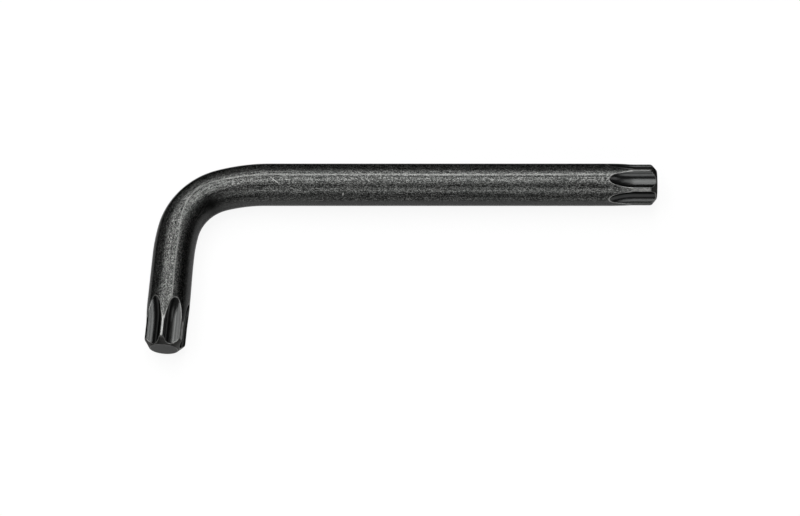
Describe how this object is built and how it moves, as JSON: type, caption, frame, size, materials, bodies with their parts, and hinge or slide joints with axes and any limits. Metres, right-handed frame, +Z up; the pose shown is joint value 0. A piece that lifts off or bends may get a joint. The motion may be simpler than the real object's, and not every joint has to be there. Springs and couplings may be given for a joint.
{
  "type": "star key",
  "caption": "L-shaped star key for turning screws with star sockets: a round blackened steel bar with a fluted star tip at the end of its long arm and of its short arm.",
  "frame": {"origin": "middle of the key's outline, on the surface that it lies on", "axes": "+X along the long arm toward its star end, -Y along the short arm, +Z up from the surface"},
  "size_m": [0.1062, 0.041, 0.0088],
  "materials": {
    "blackened_steel": "black oxide over drawn bar, satin, with lengthwise drawing marks and bare metal on the star's edges"
  },
  "bodies": {
    "root": {"star_key": "blackened_steel"}
  },
  "joints": []
}
